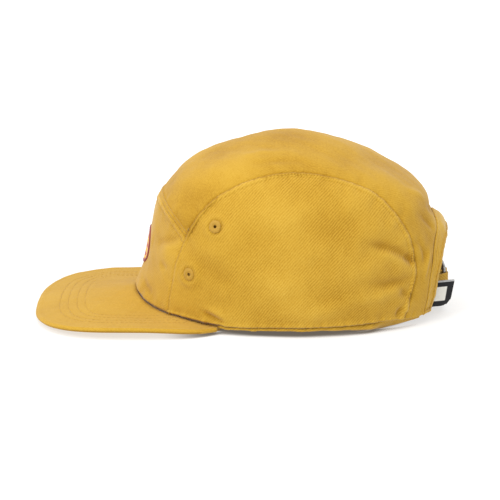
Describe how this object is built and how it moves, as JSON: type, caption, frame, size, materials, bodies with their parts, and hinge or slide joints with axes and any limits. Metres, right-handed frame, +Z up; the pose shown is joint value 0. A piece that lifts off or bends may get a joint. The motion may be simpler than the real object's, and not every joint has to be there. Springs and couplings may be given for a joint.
{
  "type": "five panel cap",
  "caption": "Soft five panel camp cap of cotton twill with a flat stitched brim, embroidered eyelets and a buckled strap across a rear arch.",
  "frame": {"origin": "on the surface that the cap stands on, under the middle of the whole cap", "axes": "+X the wearer's left, -Y the front where the brim points, +Z up"},
  "size_m": [0.176, 0.274, 0.1185],
  "materials": {
    "twill": "mustard yellow cotton twill, matt",
    "sweatband_twill": "mustard yellow cotton twill, matt",
    "eyelet_thread": "embroidery thread, tone on tone",
    "buckle_metal": "antique silver, worn bright on its edges",
    "label_weave": "black woven label with a plain cream field",
    "patch_thread": "embroidered patch, yellow field with a dark red border"
  },
  "bodies": {
    "root": {"front_panel": "twill", "top_panel": "twill", "side_panel_left": "twill", "side_panel_right": "twill", "back_panel": "twill", "brim": "twill", "sweatband": "sweatband_twill", "strap": "twill", "strap_tab": "twill", "buckle": "buckle_metal", "side_label": "label_weave", "front_patch": "patch_thread", "eyelet_left_upper": "eyelet_thread", "eyelet_left_lower": "eyelet_thread", "eyelet_right_upper": "eyelet_thread", "eyelet_right_lower": "eyelet_thread"}
  },
  "joints": []
}
